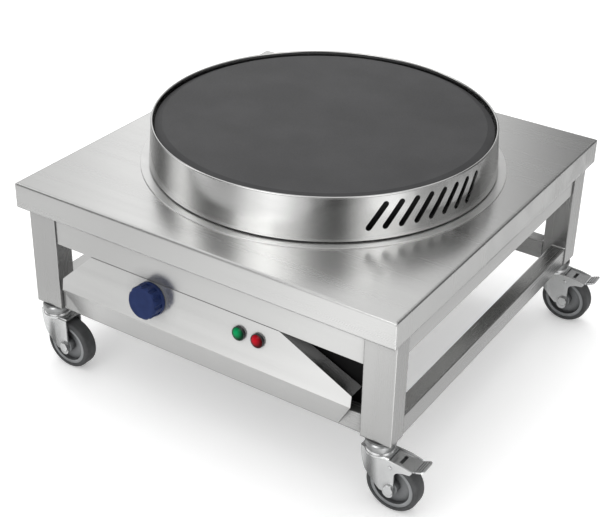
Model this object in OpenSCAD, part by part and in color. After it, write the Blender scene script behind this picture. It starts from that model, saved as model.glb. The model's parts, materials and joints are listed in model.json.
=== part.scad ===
// Electric flat saj griddle on a low stainless trolley table
// Millimetres, +Z up, floor at Z = 0, control panel towards -Y

/* [Table top] */
// Width of the table along X
table_w = 800; // [600:1:1000]
// Depth of the table along Y
table_d = 800; // [600:1:1000]
// Height of the table's top face above the floor
table_h = 395; // [360:1:520]
// Height of the folded apron
apron_h = 50; // [30:1:60]
// Sheet thickness of the table top
top_t = 1.5; // [1:0.1:3]
// Outer radius of the folded edges
bend_r = 4; // [2.5:0.5:8]
// Open seam where two aprons meet at a corner
seam_gap = 0.8; // [0.3:0.1:2]

/* [Frame] */
// Front leg width along X
front_leg_w = 60; // [40:1:70]
// Front leg depth along Y
front_leg_d = 40; // [30:1:60]
// Back leg width along X
back_leg_w = 50; // [40:1:70]
// Back leg depth along Y
back_leg_d = 50; // [30:1:70]
// Wall of the leg and rail tubes
tube_wall = 2; // [1.2:0.1:3]
// Legs' outer faces stand back from the apron along X
leg_inset_x = 8; // [4:1:40]
// Legs' outer faces stand back from the apron along Y
leg_inset_y = 22; // [4:1:40]
// Welded plate that closes each leg's foot
foot_plate_t = 5; // [3:0.5:10]
// Bottom of the side and back channels above the control panel's top edge
side_channel_lift = 21; // [0:1:40]
// Depth of the upper channels
channel_d = 30; // [20:1:36]
// Sheet thickness of the upper channels
channel_t = 2; // [1.2:0.1:3]
// Upper channels stand back from the legs' outer faces
channel_recess = 3; // [0:0.5:8]
// Height of the lower rails
lower_rail_h = 40; // [25:1:60]
// Width of the lower rails
lower_rail_w = 30; // [20:1:40]
// Front lower rail stands back from the legs' front faces
front_rail_recess = 7; // [4:0.5:10]
// Side lower rails stand back from the legs' outer faces
side_rail_recess = 2; // [0:0.5:10]
// Back lower rail stands back from the legs' back faces
back_rail_recess = 20; // [0:1:20]

/* [Saj] */
// Saj axis behind the middle of the table
saj_back = 16; // [0:1:30]
// Margin from the table's edge to the collar's base
collar_margin = 69; // [60:1:120]
// Reach of the flange beyond the collar's base
flange_reach = 16; // [8:1:40]
// Thickness of the flange
flange_t = 2; // [1:0.5:4]
// Thickness of the gasket under the collar
gasket_t = 3; // [2:0.5:5]
// Gasket stands back inside the collar's foot
gasket_inset = 4; // [2:0.5:8]
// Lean of the collar inwards from base to rim
collar_lean = 6; // [0:0.5:12]
// Rim of the collar above the table top
collar_h = 87; // [70:1:120]
// Wall of the collar
collar_t = 3; // [2:0.5:4]
// Radius of the rolled bead on the rim
bead_r = 2; // [1.6:0.1:3]
// Width of the collar's turned-in foot
collar_foot_w = 24; // [22:1:26]
// Thickness of the collar's turned-in foot
collar_foot_t = 2; // [1.5:0.5:4]
// Number of vent slots
slot_count = 8; // [1:1:12]
// Angle between vent slots
slot_pitch = 5.2; // [4.5:0.1:8]
// Angle of the middle of the slot row about the saj axis
slot_row_angle = -23.4; // [-60:0.1:0]
// Lean of each slot from upright
slot_lean = 36; // [0:1:45]
// Width of a slot
slot_w = 11; // [4:0.5:13]
// Length of a slot from tip to tip
slot_l = 61; // [30:1:64]
// Middle of the slots above the middle of the collar
slot_up = 2.5; // [0:0.5:6]
// Room between the collar's rim and the cooking plate
plate_gap = 4; // [3:0.5:12]
// Thickness of the cooking plate
plate_t = 10; // [6:0.5:16]
// Cooking face below the rim
plate_drop = 3.5; // [0:0.5:10]
// Width of the plate's sloped edge
plate_edge_w = 14; // [6:0.5:18]
// Depth of the plate's sloped edge
plate_edge_h = 5.5; // [2:0.5:7]
// Overhang of the plate beyond the burner pan's wall
plate_overhang = 20; // [16:1:26]
// Sheet thickness of the burner pan
pan_t = 1.5; // [1:0.1:3]
// Reach of the pan's turned-out lip beyond its wall
pan_lip = 16; // [12:1:18]
// Sideways room round the insulation
insulation_gap = 1; // [0.5:0.5:4]
// Thickness of the element tray
tray_t = 1.5; // [1:0.1:3]
// Element tray stands back from the burner pan's wall
tray_inset = 10; // [4:1:20]
// Diameter of the heating elements
element_d = 8.5; // [6:0.1:12]
// Outer heating loop stands back from the tray's edge
loop_inset = 63; // [50:1:90]
// Distance between the two heating loops
loop_step = 105; // [60:1:130]
// Open gap between the ends of a heating loop
loop_gap = 40; // [20:1:80]
// Room between the elements and the plate
element_gap = 0.4; // [0.2:0.1:3]
// Number of collar screws
collar_screws = 6; // [3:1:12]
// Radius of a collar screw
screw_r = 3; // [2:0.5:4]
// Radial room of a screw in its hole
screw_gap = 0.2; // [0.1:0.05:0.6]
// Height of a screw head or nut
screw_head_h = 4; // [3:0.5:6]

/* [Wire tube] */
// Wire tube's axis stands back from the burner pan's wall
wire_inset = 36; // [26:1:46]
// Outer radius of the wire tube
wire_tube_r = 9; // [6:0.5:12]
// Wall of the wire tube
wire_tube_wall = 1.5; // [1:0.1:3]
// Radial room round the wire tube in its holes
wire_tube_gap = 0.3; // [0.1:0.1:1]
// Collar of the wire tube beyond its wall
wire_collar = 4; // [2:0.5:6]
// Thickness of the wire tube's collar
wire_collar_t = 2; // [1:0.5:4]

/* [Control panel] */
// Sheet thickness of the control panel
panel_t = 1.5; // [1:0.1:3]
// Panel's ends stand back from the legs' inner faces
panel_end_gap = 16; // [8:1:40]
// Top edge of the panel above the lower rails
panel_rise = 104; // [90:1:130]
// Fold of the panel above the lower rails
fold_rise = 16; // [10:1:24]
// Fold of the panel in front of the legs' front faces
fold_out = 8; // [2:0.5:14]
// Top edge of the panel behind the legs' front faces
panel_top_in = 3.5; // [1:0.5:8]
// Lower edge of the lip above the legs' feet
lip_clear = 4; // [1:0.5:12]
// Upright stretch of the panel's ends above the fold
end_upright = 22; // [8:1:50]
// Run of the slanted cut at the panel's left end
cut_left = 68; // [20:1:120]
// Run of the slanted cut at the panel's right end
cut_right = 152; // [20:1:160]
// Run of the slanted cuts at the lip's ends
lip_cut = 30; // [5:1:60]
// Depth of the panel's turned-back flanges
panel_flange = 28; // [12:1:30]
// Left end of the control box from the middle
box_left = 178; // [160:1:240]
// Right end of the control box from the middle
box_right = 150; // [145:1:155]
// Sheet thickness of the control box
box_t = 1.2; // [0.8:0.1:2]
// Back of the control box behind the wire tube
box_room = 9; // [8:1:30]
// Bottom of the control box above the lower rails
box_rise = 32.5; // [24:0.5:40]
// Thickness of the blank plate beside the control box
blank_t = 1.5; // [1:0.1:3]
// Knob and thermostat left of the middle
knob_x = 106; // [60:1:140]
// Knob axis above the middle of the control box
knob_up = 2.5; // [0:0.5:6]
// Radius of the knob
knob_r = 31.5; // [22:0.5:36]
// Length of the knob
knob_l = 26; // [16:0.5:36]
// Height of the plain ring at the back of the knob
skirt_h = 6; // [3:0.5:9]
// How far the plain ring stands out past the flutes
skirt_out = 0.8; // [0.4:0.2:2]
// Room between the knob and the panel
knob_gap = 2; // [0.5:0.1:4]
// Number of finger flutes round the knob
knob_flutes = 12; // [6:1:20]
// Radius of a finger flute
flute_r = 5; // [3:0.5:7]
// Depth of a finger flute
flute_depth = 2.6; // [1:0.2:4]
// Bevel round the knob's face
knob_bevel = 3; // [1:0.5:6]
// Radius of the thermostat's shaft
shaft_r = 3; // [2.5:0.5:4]
// Radial running clearance of shafts and pins
run_gap = 0.05; // [0.02:0.01:0.1]
// Length of the shaft inside the knob
shaft_in_knob = 14; // [8:0.5:20]
// Radius of the thermostat's threaded bush
bush_r = 5; // [4.5:0.1:7]
// Side of the thermostat's body
thermostat_w = 42; // [30:1:44]
// Depth of the thermostat's body
thermostat_d = 36; // [20:1:60]
// First lamp right of the middle
lamp_x = 87; // [60:1:100]
// Distance between the lamps
lamp_pitch = 39; // [32:0.5:46]
// Lamps above the middle of the control box
lamp_up = 4; // [0:0.5:8]
// Radius of a lamp's bezel
bezel_r = 13; // [12.8:0.2:15]
// Height of a lamp's bezel
bezel_h = 5; // [4.5:0.5:8]
// Radius of a lamp's lens
lens_r = 11.8; // [9:0.2:12]
// Radius of a lamp's barrel behind the panel
barrel_r = 10.5; // [8:0.5:11]
// Height of the lens dome above the bezel
lens_dome = 4; // [2:0.5:7]
// Depth of the lens inside the bezel
lens_seat = 3; // [1.5:0.5:3.5]
// Radial room of small fitted pieces
fit_gap = 0.15; // [0.1:0.05:0.4]
// Length of a lamp's barrel behind the panel
barrel_l = 30; // [15:1:50]
// Length of the terminal block
block_l = 60; // [30:1:80]
// Depth of the terminal block
block_d = 25; // [15:1:40]
// Height of the terminal block
block_h = 22; // [12:1:30]
// Radius of the cable gland's bore
gland_bore_r = 5.5; // [3:0.25:6]
// Radius of the cable gland's thread
gland_r = 8; // [7.5:0.25:10]
// Distance of the gland left of the middle
gland_x = 60; // [0:1:120]

/* [Casters] */
// Height of a caster's bearing head
head_h = 17.1; // [12:0.1:26]
// Radius of the wheel
wheel_r = 50; // [49:0.5:51]
// Width of the tyre
tyre_w = 30; // [22:0.5:34]
// Thickness of the tyre
tyre_t = 8.5; // [6:0.5:14]
// Rounding of the tyre's shoulders
tyre_round = 6; // [2:0.5:8]
// Wheel axle behind the swivel axis
caster_trail = 32; // [28:1:40]
// Radius of the wheel's hub
hub_r = 13; // [9:0.5:18]
// Radius of the axle
axle_r = 5; // [4:0.5:6]
// Room between the tyre and the fork's plates
tyre_side = 3; // [3:0.5:6]
// Thickness of the fork's plates
fork_t = 3; // [2:0.5:4]
// Side room between hub and fork
hub_gap = 0.3; // [0.2:0.1:1]
// Radius of a fork plate's toe under the axle
fork_toe = 10; // [9.5:0.5:12]
// Middle of the toe ahead of the axle
toe_ahead = 3; // [2:0.5:3.5]
// Middle of the toe below the axle
toe_drop = 9.5; // [6:0.5:11]
// Lean of the straight edge between toe and front, from upright
toe_slant = 50; // [42:1:54]
// Radius of the bowed front edge of the fork's plates
fork_bow = 90; // [86:1:140]
// Reach of the fork ahead of the swivel axis
fork_front = 31; // [28:0.5:33]
// Where the plates begin to draw in, behind the swivel axis
flank_x = 13; // [8:1:18]
// Radius of the plates where they draw in towards the front
flank_r = 120; // [115:1:200]
// Bend of the fork's sheet between crown and plates
fork_bend = 5; // [4.5:0.5:7]
// Fillet under the ears of a braked fork
ear_fillet = 10.5; // [8:0.5:12]
// Room between the tyre and the fork's crown
crown_gap = 8; // [6:0.5:12]
// Thickness of the fork's crown
crown_t = 3.5; // [2:0.5:5]
// Radius of the swivel bearing
bearing_r = 26; // [20:0.5:27]
// Height of the raised race on the crown
race_h = 4; // [2:0.5:6]
// Room between the crown's race and the bearing cup
race_gap = 0.4; // [0.3:0.1:1]
// Radius of the swivel's kingpin
kingpin_r = 6; // [4:0.5:8]
// Radius of the threaded stem in the leg's foot
stem_r = 6; // [4:0.5:8]
// Length of the threaded stem above the leg's foot plate
stem_l = 14; // [8:1:30]
// Reach of the brake pedal from the swivel axis
pedal_reach = 92; // [88:1:110]
// Sheet thickness of the brake pedal
pedal_t = 2.2; // [1.5:0.1:3]
// Length of the brake pedal's pad
pad_l = 20; // [16:0.5:24]
// Thickness of the brake pedal's pad
pad_t = 3; // [2.5:0.5:4]
// Half width of the brake pedal's pad
pad_half = 18; // [16:0.5:21]
// Corner radius of the pad
pad_corner = 7.5; // [3:0.5:7.5]
// Tilt of the pad from level
pad_tilt = 21; // [10:1:26]
// Ribs across the pad
pad_ribs = 4; // [2:1:5]
// Pedal pivot ahead of the wheel axle
pivot_ahead = 1; // [0:0.5:3]
// Pedal pivot below the crown's top face
pivot_drop = 16.5; // [15.5:0.25:18]
// Radius of the pedal's pivot pins
pivot_r = 2.5; // [2:0.25:3]
// Travel of the pedal from up to braking, in degrees
pedal_travel = 12; // [6:1:14]
// Side room between the fork and the pedal's cheeks
cheek_gap = 0.6; // [0.5:0.1:0.8]
// Thickness of the pedal's cheeks
cheek_t = 1.6; // [1:0.1:1.6]

/* [Hidden] */
$fn = 96;
eps = 0.01;
// Table and frame levels
top_z = table_h;
under_z = table_h - top_t;
leg_x = table_w / 2 - leg_inset_x;
leg_y = table_d / 2 - leg_inset_y;
front_cx = leg_x - front_leg_w / 2;
front_cy = -leg_y + front_leg_d / 2;
back_cx = leg_x - back_leg_w / 2;
back_cy = leg_y - back_leg_d / 2;
front_in = leg_x - front_leg_w;
back_in = leg_x - back_leg_w;
side_y0 = -leg_y + front_leg_d;
side_y1 = leg_y - back_leg_d;
// Caster levels, from the floor and from the swivel axis
tyre_top = 2 * wheel_r;
crown_z = tyre_top + crown_gap;
race_z = crown_z + crown_t;
cup_z = race_z + race_h + race_gap;
caster_h = cup_z + head_h;
leg_len = under_z - caster_h;
rail_top = caster_h + lower_rail_h;
core_r = wheel_r - tyre_t;
fork_gap = tyre_w + 2 * tyre_side;
fork_half = fork_gap / 2 + fork_t;
pivot_x = caster_trail - pivot_ahead;
pivot_z = race_z - pivot_drop;
toe_x = caster_trail - toe_ahead;
toe_z = wheel_r - toe_drop;
fork_edge = toe_x + fork_toe;
pad_x = pedal_reach - pad_l;
ear_tip = pad_x - 1.2;
plate_x = bearing_r + 2.5;
plate_z = crown_z - 1.5 - pedal_t;
plate_fall = 3.5 / (pad_x - plate_x);
plate_half = fork_gap / 2 - cheek_gap;
// Saj radii and levels
collar_r_base = min(table_w, table_d) / 2 - collar_margin;
collar_r_top = collar_r_base - collar_lean;
flange_r = collar_r_base + flange_reach;
plate_r = collar_r_top - collar_t - plate_gap;
pan_r = plate_r - plate_overhang;
tray_r = pan_r - tray_inset;
outer_loop_r = tray_r - loop_inset;
inner_loop_r = outer_loop_r - loop_step;
wire_tube_y = pan_r - wire_inset;
flange_z = top_z + flange_t;
collar_z = flange_z + gasket_t;
rim_z = top_z + collar_h;
plate_top = rim_z - plate_drop;
plate_bot = plate_top - plate_t;
pan_floor = flange_z + pan_t;
element_z = plate_bot - element_gap - element_d / 2;
tray_z = element_z - element_d / 2 - tray_t;
insulation_h = tray_z - pan_floor;
foot_screw_r = collar_r_base - collar_t - (collar_foot_w - collar_t) / 2;
wire_y = saj_back - wire_tube_y;
// Control panel outline: lip bottom, fold and top edge, as depth and height
front_y = -leg_y;
lip_y = front_y + front_rail_recess - panel_t;
lip_z = caster_h + lip_clear;
panel_half = front_in - panel_end_gap;
fold_y = front_y - fold_out;
fold_z = rail_top + fold_rise;
ptop_y = front_y + panel_top_in;
ptop_z = rail_top + panel_rise;
side_z = ptop_z + side_channel_lift;
panel_tilt = atan((ptop_y - fold_y) / (ptop_z - fold_z));
panel_skin = panel_t / cos(panel_tilt);
box_top = ptop_z - panel_t;
box_bot = rail_top + box_rise;
box_back = wire_y + wire_tube_r + box_room;
gland_z = (box_top + box_bot) / 2;
knob_z = gland_z + knob_up;
lamp_z = gland_z + lamp_up;
gland_len = 6 + 16 + 8 + box_t;
// The pedals overhang one side, so the table is moved to centre the whole
shift_x = -(back_cx + pedal_reach - table_w / 2) / 2;
steel = [0.78, 0.79, 0.80];
zinc = [0.70, 0.72, 0.74];
dark = [0.30, 0.30, 0.31];

// Where the front face of the control panel is at a height
function panel_y(z) = fold_y + (z - fold_z) * tan(panel_tilt);

// Top of the tyre at a distance from the swivel axis
function tyre_over(x) = wheel_r + sqrt(pow(wheel_r, 2) - pow(x - caster_trail, 2));

// Underside of the pedal's plate
function plate_under(x) = plate_z - plate_fall * (x - plate_x);

// Where a point of the pressed pedal is when the pedal is up
function let_up(x, z) = [
    pivot_x + (x - pivot_x) * cos(pedal_travel) - (z - pivot_z) * sin(pedal_travel),
    pivot_z + (x - pivot_x) * sin(pedal_travel) + (z - pivot_z) * cos(pedal_travel)
];

// Sheet outline with rounded upper corners, as wide as w, from z0 up to z1
module rounded_top(w, z0, z1, r) {
    translate([-w / 2, z0]) square([w, z1 - z0 - r]);
    translate([-w / 2 + r, z0]) square([w - 2 * r, z1 - z0]);
    for (s = [-1, 1]) translate([s * (w / 2 - r), z1 - r]) circle(r);
}

// Box with its four upper edges rounded
module rounded_box(w, d, z0, z1, r) {
    intersection() {
        translate([0, d / 2, 0]) rotate([90, 0, 0])
            linear_extrude(d) rounded_top(w, z0, z1, r);
        translate([-w / 2, 0, 0]) rotate([90, 0, 90])
            linear_extrude(w) rounded_top(d, z0, z1, r);
    }
}

// Straight tube of rectangular section along X, Y or Z
module tube_x(l, d, h) {
    difference() {
        cube([l, d, h]);
        translate([-1, tube_wall, tube_wall])
            cube([l + 2, d - 2 * tube_wall, h - 2 * tube_wall]);
    }
}

module tube_y(w, l, h) {
    difference() {
        cube([w, l, h]);
        translate([tube_wall, -1, tube_wall])
            cube([w - 2 * tube_wall, l + 2, h - 2 * tube_wall]);
    }
}

module leg_tube(w, d) {
    difference() {
        translate([-w / 2, -d / 2, caster_h]) cube([w, d, leg_len]);
        translate([-w / 2 + tube_wall, -d / 2 + tube_wall, caster_h + foot_plate_t])
            cube([w - 2 * tube_wall, d - 2 * tube_wall, leg_len]);
        translate([0, 0, caster_h - 1]) cylinder(r = stem_r + screw_gap, h = foot_plate_t + 2);
    }
}

// Folded channel, open towards the inside, along X and along Y
module channel_x(l, h) {
    difference() {
        cube([l, channel_d, h]);
        translate([-1, channel_t, channel_t])
            cube([l + 2, channel_d, h - 2 * channel_t]);
    }
}

module channel_y(l, h) {
    difference() {
        cube([channel_d, l, h]);
        translate([-1, -1, channel_t])
            cube([channel_d - channel_t + 1, l + 2, h - 2 * channel_t]);
    }
}

module collar_screw_places() {
    for (i = [0 : collar_screws - 1])
        rotate([0, 0, 360 / collar_screws * (i + 0.5)])
            translate([foot_screw_r, 0, 0]) children();
}

module collar_screw_holes(z, h) {
    collar_screw_places() translate([0, 0, z]) cylinder(r = screw_r + screw_gap, h = h, $fn = 32);
}

module wire_hole(z, h) {
    translate([0, -wire_tube_y, z]) cylinder(r = wire_tube_r + wire_tube_gap, h = h, $fn = 48);
}

module at_saj() {
    translate([0, saj_back, 0]) children();
}

// Table top and frame
module table_top() {
    color(steel) difference() {
        rounded_box(table_w, table_d, top_z - apron_h, top_z, bend_r);
        rounded_box(table_w - 2 * top_t, table_d - 2 * top_t, top_z - apron_h - 1,
            under_z, bend_r - top_t);
        at_saj() {
            collar_screw_holes(under_z - 1, top_t + 2);
            wire_hole(under_z - 1, top_t + 2);
        }
        for (sx = [-1, 1]) for (sy = [-1, 1])
            translate([sx * (table_w / 2 - top_t / 2), sy * (table_d / 2 - top_t - seam_gap / 2),
                top_z - (apron_h + bend_r) / 2 - 1])
                cube([top_t + 2, seam_gap, apron_h - bend_r + 2], center = true);
    }
}

module leg_front_left() {
    color(steel) translate([-front_cx, front_cy, 0]) leg_tube(front_leg_w, front_leg_d);
}

module leg_front_right() {
    color(steel) translate([front_cx, front_cy, 0]) leg_tube(front_leg_w, front_leg_d);
}

module leg_back_left() {
    color(steel) translate([-back_cx, back_cy, 0]) leg_tube(back_leg_w, back_leg_d);
}

module leg_back_right() {
    color(steel) translate([back_cx, back_cy, 0]) leg_tube(back_leg_w, back_leg_d);
}

module channel_front() {
    color(steel) translate([-front_in, front_y + channel_recess, ptop_z])
        channel_x(2 * front_in, under_z - ptop_z);
}

module channel_back() {
    color(steel) translate([back_in, leg_y - channel_recess, side_z])
        rotate([0, 0, 180]) channel_x(2 * back_in, under_z - side_z);
}

module channel_right() {
    color(steel) translate([leg_x - channel_recess - channel_d, side_y0, side_z])
        channel_y(side_y1 - side_y0, under_z - side_z);
}

module channel_left() {
    color(steel) mirror([1, 0, 0])
        translate([leg_x - channel_recess - channel_d, side_y0, side_z])
        channel_y(side_y1 - side_y0, under_z - side_z);
}

module rail_front() {
    color(steel) translate([-front_in, front_y + front_rail_recess, caster_h])
        tube_x(2 * front_in, lower_rail_w, lower_rail_h);
}

module rail_back() {
    color(steel) translate([-back_in, leg_y - back_rail_recess - lower_rail_w, caster_h])
        tube_x(2 * back_in, lower_rail_w, lower_rail_h);
}

module rail_right() {
    color(steel) translate([leg_x - side_rail_recess - lower_rail_w, side_y0, caster_h])
        tube_y(lower_rail_w, side_y1 - side_y0, lower_rail_h);
}

module rail_left() {
    color(steel) translate([-leg_x + side_rail_recess, side_y0, caster_h])
        tube_y(lower_rail_w, side_y1 - side_y0, lower_rail_h);
}

// Saj: flange, gasket, collar, plate and what is under the plate
module base_flange() {
    color(steel) at_saj() difference() {
        translate([0, 0, top_z]) cylinder(r = flange_r, h = flange_t, $fn = 180);
        collar_screw_holes(top_z - 1, flange_t + 2);
        wire_hole(top_z - 1, flange_t + 2);
    }
}

module base_gasket() {
    color(dark) at_saj() difference() {
        translate([0, 0, flange_z]) cylinder(r = collar_r_base - gasket_inset, h = gasket_t, $fn = 180);
        translate([0, 0, flange_z - 1])
            cylinder(r = collar_r_base - collar_foot_w, h = gasket_t + 2, $fn = 180);
        collar_screw_holes(flange_z - 1, gasket_t + 2);
    }
}

module vent_slot() {
    rotate([-slot_lean, 0, 0]) {
        translate([-20, -slot_w / 2, -(slot_l - slot_w) / 2]) cube([40, slot_w, slot_l - slot_w]);
        for (s = [-1, 1]) translate([-20, 0, s * (slot_l - slot_w) / 2])
            rotate([0, 90, 0]) cylinder(r = slot_w / 2, h = 40, $fn = 32);
    }
}

module saj_collar() {
    color(steel) at_saj() difference() {
        rotate_extrude($fn = 180) {
            polygon([
                [collar_r_base - collar_foot_w, collar_z],
                [collar_r_base, collar_z],
                [collar_r_top, rim_z - bead_r],
                [collar_r_top - collar_t, rim_z - bead_r],
                [collar_r_base - collar_t, collar_z + collar_foot_t],
                [collar_r_base - collar_foot_w, collar_z + collar_foot_t]
            ]);
            translate([collar_r_top - collar_t / 2, rim_z - bead_r]) circle(bead_r, $fn = 32);
        }
        collar_screw_holes(collar_z - 1, collar_foot_t + 2);
        for (i = [0 : slot_count - 1])
            rotate([0, 0, slot_row_angle + slot_pitch * (i - (slot_count - 1) / 2)])
                translate([collar_r_base - collar_t, 0, (collar_z + rim_z) / 2 + slot_up]) vent_slot();
    }
}

module collar_screws_set() {
    color(zinc) at_saj() collar_screw_places() {
        translate([0, 0, collar_z + collar_foot_t])
            cylinder(r = 1.9 * screw_r, h = screw_head_h, $fn = 6);
        translate([0, 0, under_z - 1.5 * screw_head_h])
            cylinder(r = screw_r, h = collar_z + collar_foot_t - under_z + 1.5 * screw_head_h, $fn = 32);
        translate([0, 0, under_z - screw_head_h])
            cylinder(r = 1.9 * screw_r, h = screw_head_h, $fn = 6);
    }
}

module burner_pan() {
    color(dark) at_saj() difference() {
        rotate_extrude($fn = 180) polygon([
            [0, flange_z],
            [pan_r, flange_z],
            [pan_r, plate_bot - pan_t],
            [pan_r + pan_lip, plate_bot - pan_t],
            [pan_r + pan_lip, plate_bot],
            [pan_r - pan_t, plate_bot],
            [pan_r - pan_t, pan_floor],
            [0, pan_floor]
        ]);
        wire_hole(flange_z - 1, pan_t + 2);
    }
}

module insulation() {
    color([0.92, 0.90, 0.85]) at_saj() difference() {
        translate([0, 0, pan_floor])
            cylinder(r = pan_r - pan_t - insulation_gap, h = insulation_h, $fn = 180);
        wire_hole(pan_floor - 1, insulation_h + 2);
    }
}

module element_tray() {
    color(steel) at_saj() difference() {
        translate([0, 0, tray_z]) cylinder(r = tray_r, h = tray_t, $fn = 180);
        wire_hole(tray_z - 1, tray_t + 2);
    }
}

module heating_loop(r) {
    color(dark) at_saj() difference() {
        translate([0, 0, element_z]) rotate_extrude($fn = 180)
            translate([r, 0]) circle(element_d / 2, $fn = 32);
        translate([-loop_gap / 2, -r - element_d, element_z - element_d])
            cube([loop_gap, 2 * element_d, 2 * element_d]);
    }
}

module element_outer() {
    heating_loop(outer_loop_r);
}

module element_inner() {
    heating_loop(inner_loop_r);
}

module saj_plate() {
    color(dark) at_saj() rotate_extrude($fn = 180) polygon([
        [0, plate_bot],
        [plate_r, plate_bot],
        [plate_r, plate_top - plate_edge_h],
        [plate_r - plate_edge_w, plate_top],
        [0, plate_top]
    ]);
}

// Stands in the control box and hangs by its collar on the element tray
module wire_tube() {
    color(zinc) translate([0, wire_y, 0]) difference() {
        union() {
            translate([0, 0, box_top - box_t - 2])
                cylinder(r = wire_tube_r, h = tray_z + tray_t - box_top + box_t + 4, $fn = 48);
            translate([0, 0, tray_z + tray_t])
                cylinder(r = wire_tube_r + wire_collar, h = wire_collar_t, $fn = 48);
        }
        translate([0, 0, box_top - box_t - 3])
            cylinder(r = wire_tube_r - wire_tube_wall, h = tray_z - box_top + 20, $fn = 48);
    }
}

// Control panel, its box and what they carry
module panel_outline() {
    polygon([
        [-panel_half, fold_z],
        [-panel_half, fold_z + end_upright],
        [-panel_half + cut_left, ptop_z],
        [panel_half - cut_right, ptop_z],
        [panel_half, fold_z + end_upright],
        [panel_half, fold_z],
        [panel_half - lip_cut, lip_z],
        [-panel_half + lip_cut, lip_z]
    ]);
}

// Slanted return flange along one end of the main face
module end_flange(x0, x1) {
    s = x1 > x0 ? 1 : -1;
    run = [x1 - x0, ptop_z - fold_z - end_upright];
    n = panel_t / norm(run);
    intersection() {
        rotate([90, 0, 0]) translate([0, 0, -front_y - panel_flange])
            linear_extrude(panel_flange + fold_out)
            polygon([
                [x0, fold_z + end_upright],
                [x1, ptop_z],
                [x1 + s * n * run[1], ptop_z - s * n * run[0]],
                [x0 + s * n * run[1], fold_z + end_upright - s * n * run[0]]
            ]);
        translate([-panel_half, 0, 0]) rotate([90, 0, 90]) linear_extrude(2 * panel_half) polygon([
            [panel_y(fold_z), fold_z],
            [panel_y(ptop_z), ptop_z],
            [front_y + panel_flange, ptop_z],
            [front_y + panel_flange, fold_z]
        ]);
    }
}

module at_panel(x, z) {
    translate([x, panel_y(z), z]) rotate([-panel_tilt, 0, 0]) rotate([90, 0, 0]) children();
}

module control_panel() {
    color(steel) difference() {
        union() {
            intersection() {
                translate([-panel_half, 0, 0]) rotate([90, 0, 90]) linear_extrude(2 * panel_half)
                    polygon([
                        [lip_y, lip_z],
                        [fold_y, fold_z],
                        [ptop_y, ptop_z],
                        [ptop_y + panel_flange, ptop_z],
                        [ptop_y + panel_flange, ptop_z - panel_t],
                        [panel_y(ptop_z - panel_t) + panel_skin, ptop_z - panel_t],
                        [fold_y + panel_skin, fold_z],
                        [lip_y + panel_t, lip_z]
                    ]);
                rotate([90, 0, 0]) translate([0, 0, -table_d / 2])
                    linear_extrude(table_d) panel_outline();
            }
            end_flange(-panel_half, -panel_half + cut_left);
            end_flange(panel_half, panel_half - cut_right);
        }
        at_panel(-knob_x, knob_z) translate([0, 0, -20]) cylinder(r = bush_r + fit_gap, h = 40, $fn = 48);
        for (i = [0, 1]) at_panel(lamp_x + i * lamp_pitch, lamp_z) translate([0, 0, -20])
            cylinder(r = barrel_r + fit_gap, h = 40, $fn = 48);
    }
}

module box_profile(t) {
    polygon([
        [panel_y(box_bot + t) + panel_skin - 4 * t, box_bot + t],
        [panel_y(box_top - t) + panel_skin - 4 * t, box_top - t],
        [box_back - t, box_top - t],
        [box_back - t, box_bot + t]
    ]);
}

module control_box() {
    color(steel) difference() {
        translate([-box_left, 0, 0]) rotate([90, 0, 90])
            linear_extrude(box_left + box_right) box_profile(0);
        translate([-box_left + box_t, 0, 0]) rotate([90, 0, 90])
            linear_extrude(box_left + box_right - 2 * box_t) box_profile(box_t);
        translate([-gland_x, box_back - 10, gland_z]) rotate([-90, 0, 0])
            cylinder(r = gland_r + fit_gap, h = 20, $fn = 48);
        translate([0, wire_y, box_top - 10]) cylinder(r = wire_tube_r + wire_tube_gap, h = 20, $fn = 48);
    }
}

// Closes the view behind the panel's cut right end, standing on the front rail
module blank_plate() {
    color(dark) translate([box_right, ptop_y + panel_flange + fit_gap, rail_top])
        cube([front_in - box_right, blank_t, ptop_z - rail_top]);
}

module thermostat() {
    color([0.85, 0.83, 0.78]) at_panel(-knob_x, knob_z) difference() {
        union() {
            translate([-thermostat_w / 2, -thermostat_w / 2, -panel_t - thermostat_d])
                cube([thermostat_w, thermostat_w, thermostat_d]);
            translate([0, 0, -panel_t - 1]) cylinder(r = bush_r, h = panel_t + 1.5, $fn = 48);
        }
        translate([0, 0, -panel_t - thermostat_d / 2])
            cylinder(r = shaft_r + run_gap, h = thermostat_d, $fn = 48);
    }
}

module thermostat_shaft() {
    color(zinc) at_panel(-knob_x, knob_z) translate([0, 0, -panel_t - thermostat_d / 2 + 0.5])
        cylinder(r = shaft_r, h = panel_t + thermostat_d / 2 - 0.5 + knob_gap + shaft_in_knob, $fn = 48);
}

module knob() {
    color([0.13, 0.17, 0.36]) at_panel(-knob_x, knob_z) translate([0, 0, knob_gap]) difference() {
        rotate_extrude() polygon([
            [0, 0],
            [knob_r + skirt_out, 0],
            [knob_r + skirt_out, skirt_h - skirt_out],
            [knob_r, skirt_h],
            [knob_r, knob_l - knob_bevel],
            [knob_r - knob_bevel, knob_l],
            [0, knob_l]
        ]);
        for (i = [0 : knob_flutes - 1]) rotate([0, 0, 360 / knob_flutes * i])
            translate([knob_r + flute_r - flute_depth, 0, skirt_h + 0.6])
                cylinder(r = flute_r, h = knob_l, $fn = 32);
        translate([0, 0, -1]) cylinder(r = shaft_r + run_gap, h = shaft_in_knob + 1, $fn = 48);
    }
}

module lamp_body(i) {
    color([0.08, 0.08, 0.08]) at_panel(lamp_x + i * lamp_pitch, lamp_z) difference() {
        union() {
            cylinder(r = bezel_r, h = bezel_h - 0.5, $fn = 64);
            translate([0, 0, bezel_h - 0.5]) cylinder(r1 = bezel_r, r2 = bezel_r - 0.5, h = 0.5, $fn = 64);
            translate([0, 0, -barrel_l]) cylinder(r = barrel_r, h = barrel_l + 1, $fn = 64);
        }
        translate([0, 0, bezel_h - lens_seat]) cylinder(r = lens_r + fit_gap, h = lens_seat + 1, $fn = 64);
    }
}

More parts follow.
